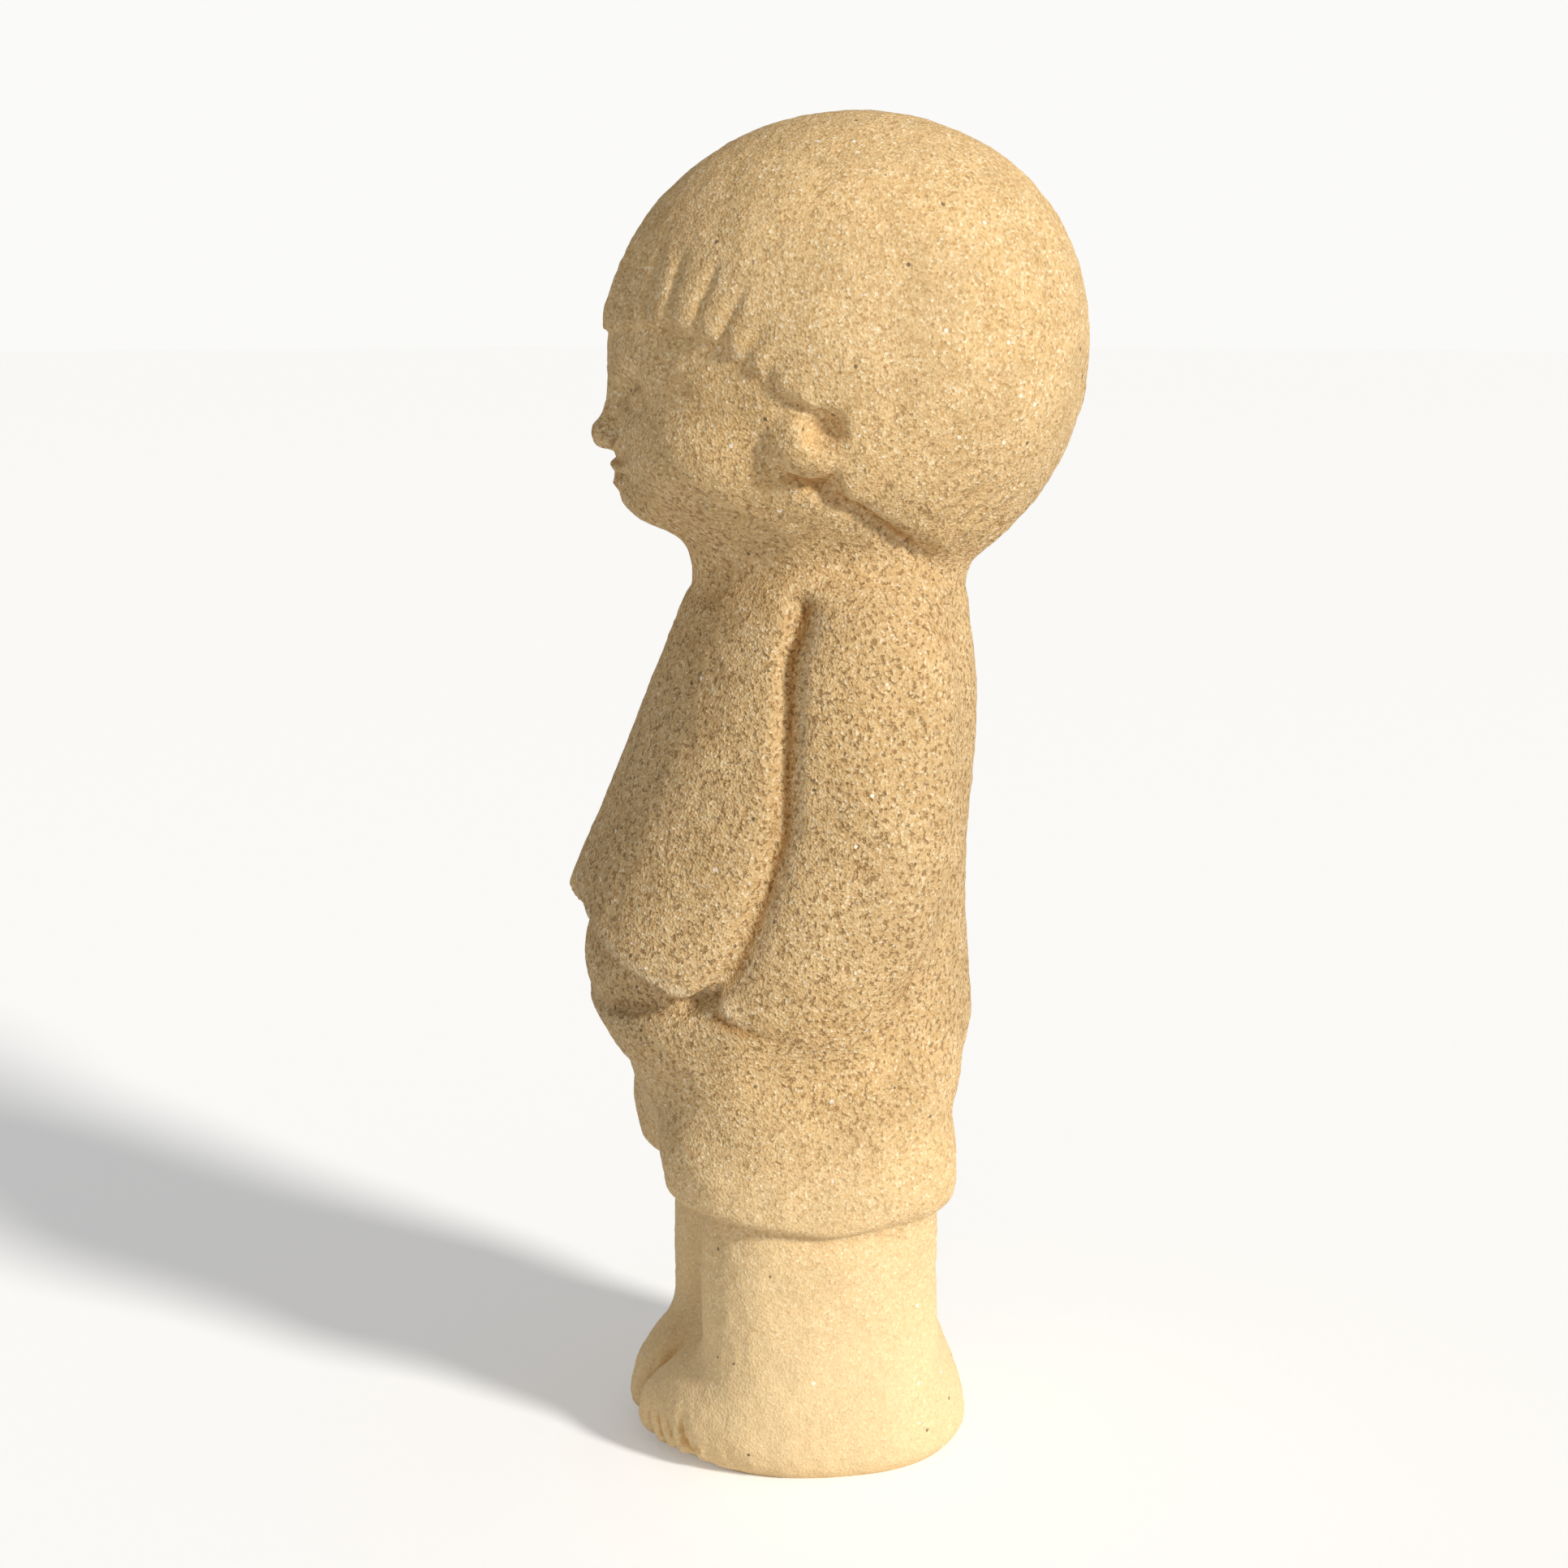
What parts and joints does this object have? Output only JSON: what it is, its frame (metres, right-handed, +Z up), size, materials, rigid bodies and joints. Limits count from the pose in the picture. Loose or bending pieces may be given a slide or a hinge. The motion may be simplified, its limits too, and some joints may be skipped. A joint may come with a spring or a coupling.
{
  "type": "stone boy statue",
  "caption": "Small carved stone figure of a standing boy with a round fringe of hair, an open jacket, short trousers and hands in his pockets.",
  "frame": {"origin": "on the flat underside of the feet, under the middle of the figure", "axes": "+Z up to the crown; the figure faces -Y and its left side is +X"},
  "size_m": [0.125, 0.1525, 0.4],
  "materials": {
    "sandstone": "matt warm beige sandstone, carved, with a fine open grain and softly worn edges"
  },
  "bodies": {
    "root": {"boy_statue": "sandstone"}
  },
  "joints": []
}
